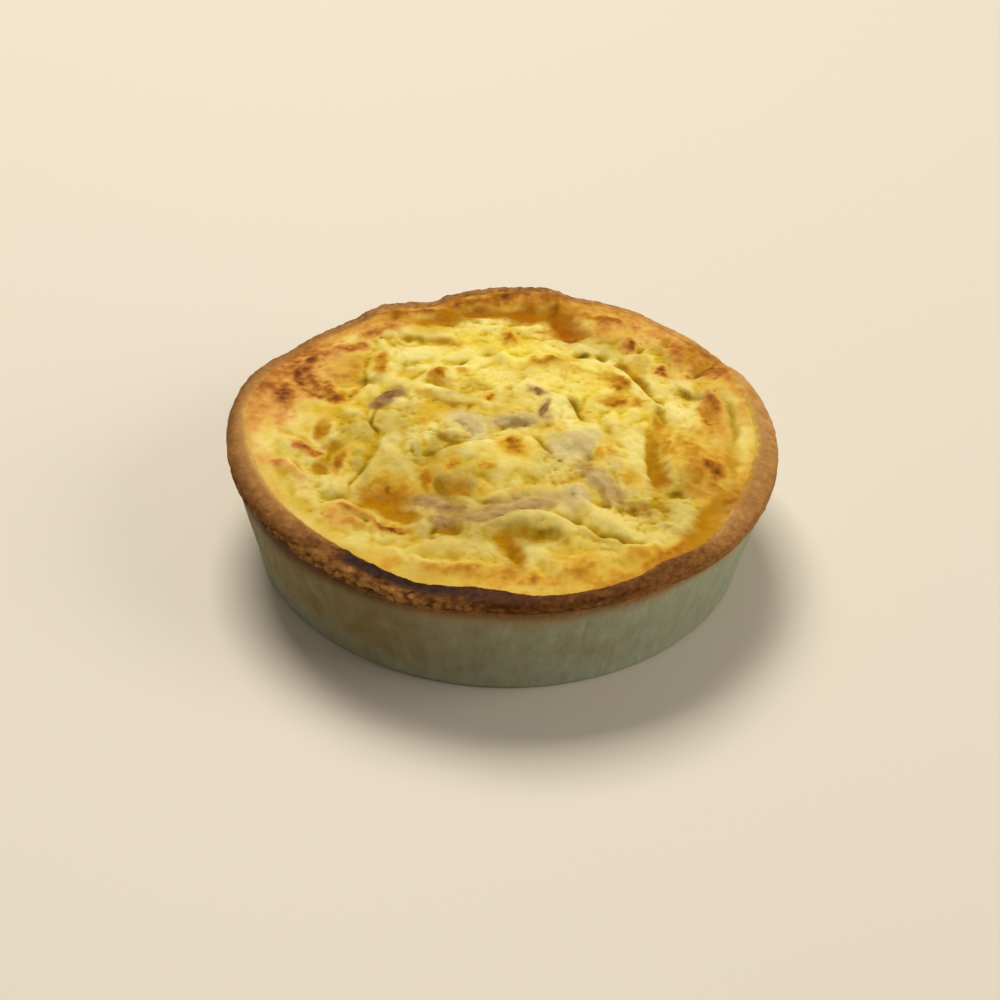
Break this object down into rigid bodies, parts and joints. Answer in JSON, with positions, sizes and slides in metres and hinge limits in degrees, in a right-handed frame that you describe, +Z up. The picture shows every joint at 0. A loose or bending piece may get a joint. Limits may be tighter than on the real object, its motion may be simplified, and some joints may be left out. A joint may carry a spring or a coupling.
{
  "type": "quiche",
  "caption": "Round deep quiche with a thick browned pastry rim and a filling of folded, browned egg custard with strips of ham.",
  "frame": {"origin": "centre of the flat underside of the pastry case", "axes": "+Z up through the middle of the quiche, -Y towards the front as in the picture, +X to the picture's right"},
  "size_m": [0.1499, 0.1497, 0.0369],
  "materials": {
    "pastry": "matte, dry baked pastry, pale on the wall and browned on the rim",
    "custard": "moist satin, baked egg custard, yellow with browned spots",
    "ham": "moist satin, cooked ham, greyish pink"
  },
  "bodies": {
    "root": {"pastry_case": "pastry", "filling": "custard", "ham_back_left": "ham", "ham_middle": "ham", "ham_ribbon": "ham", "ham_nub": "ham", "ham_sliver": "ham", "ham_right": "ham", "ham_fold": "ham", "ham_tab": "ham", "ham_strip": "ham", "ham_curl": "ham", "ham_tip": "ham"}
  },
  "joints": []
}
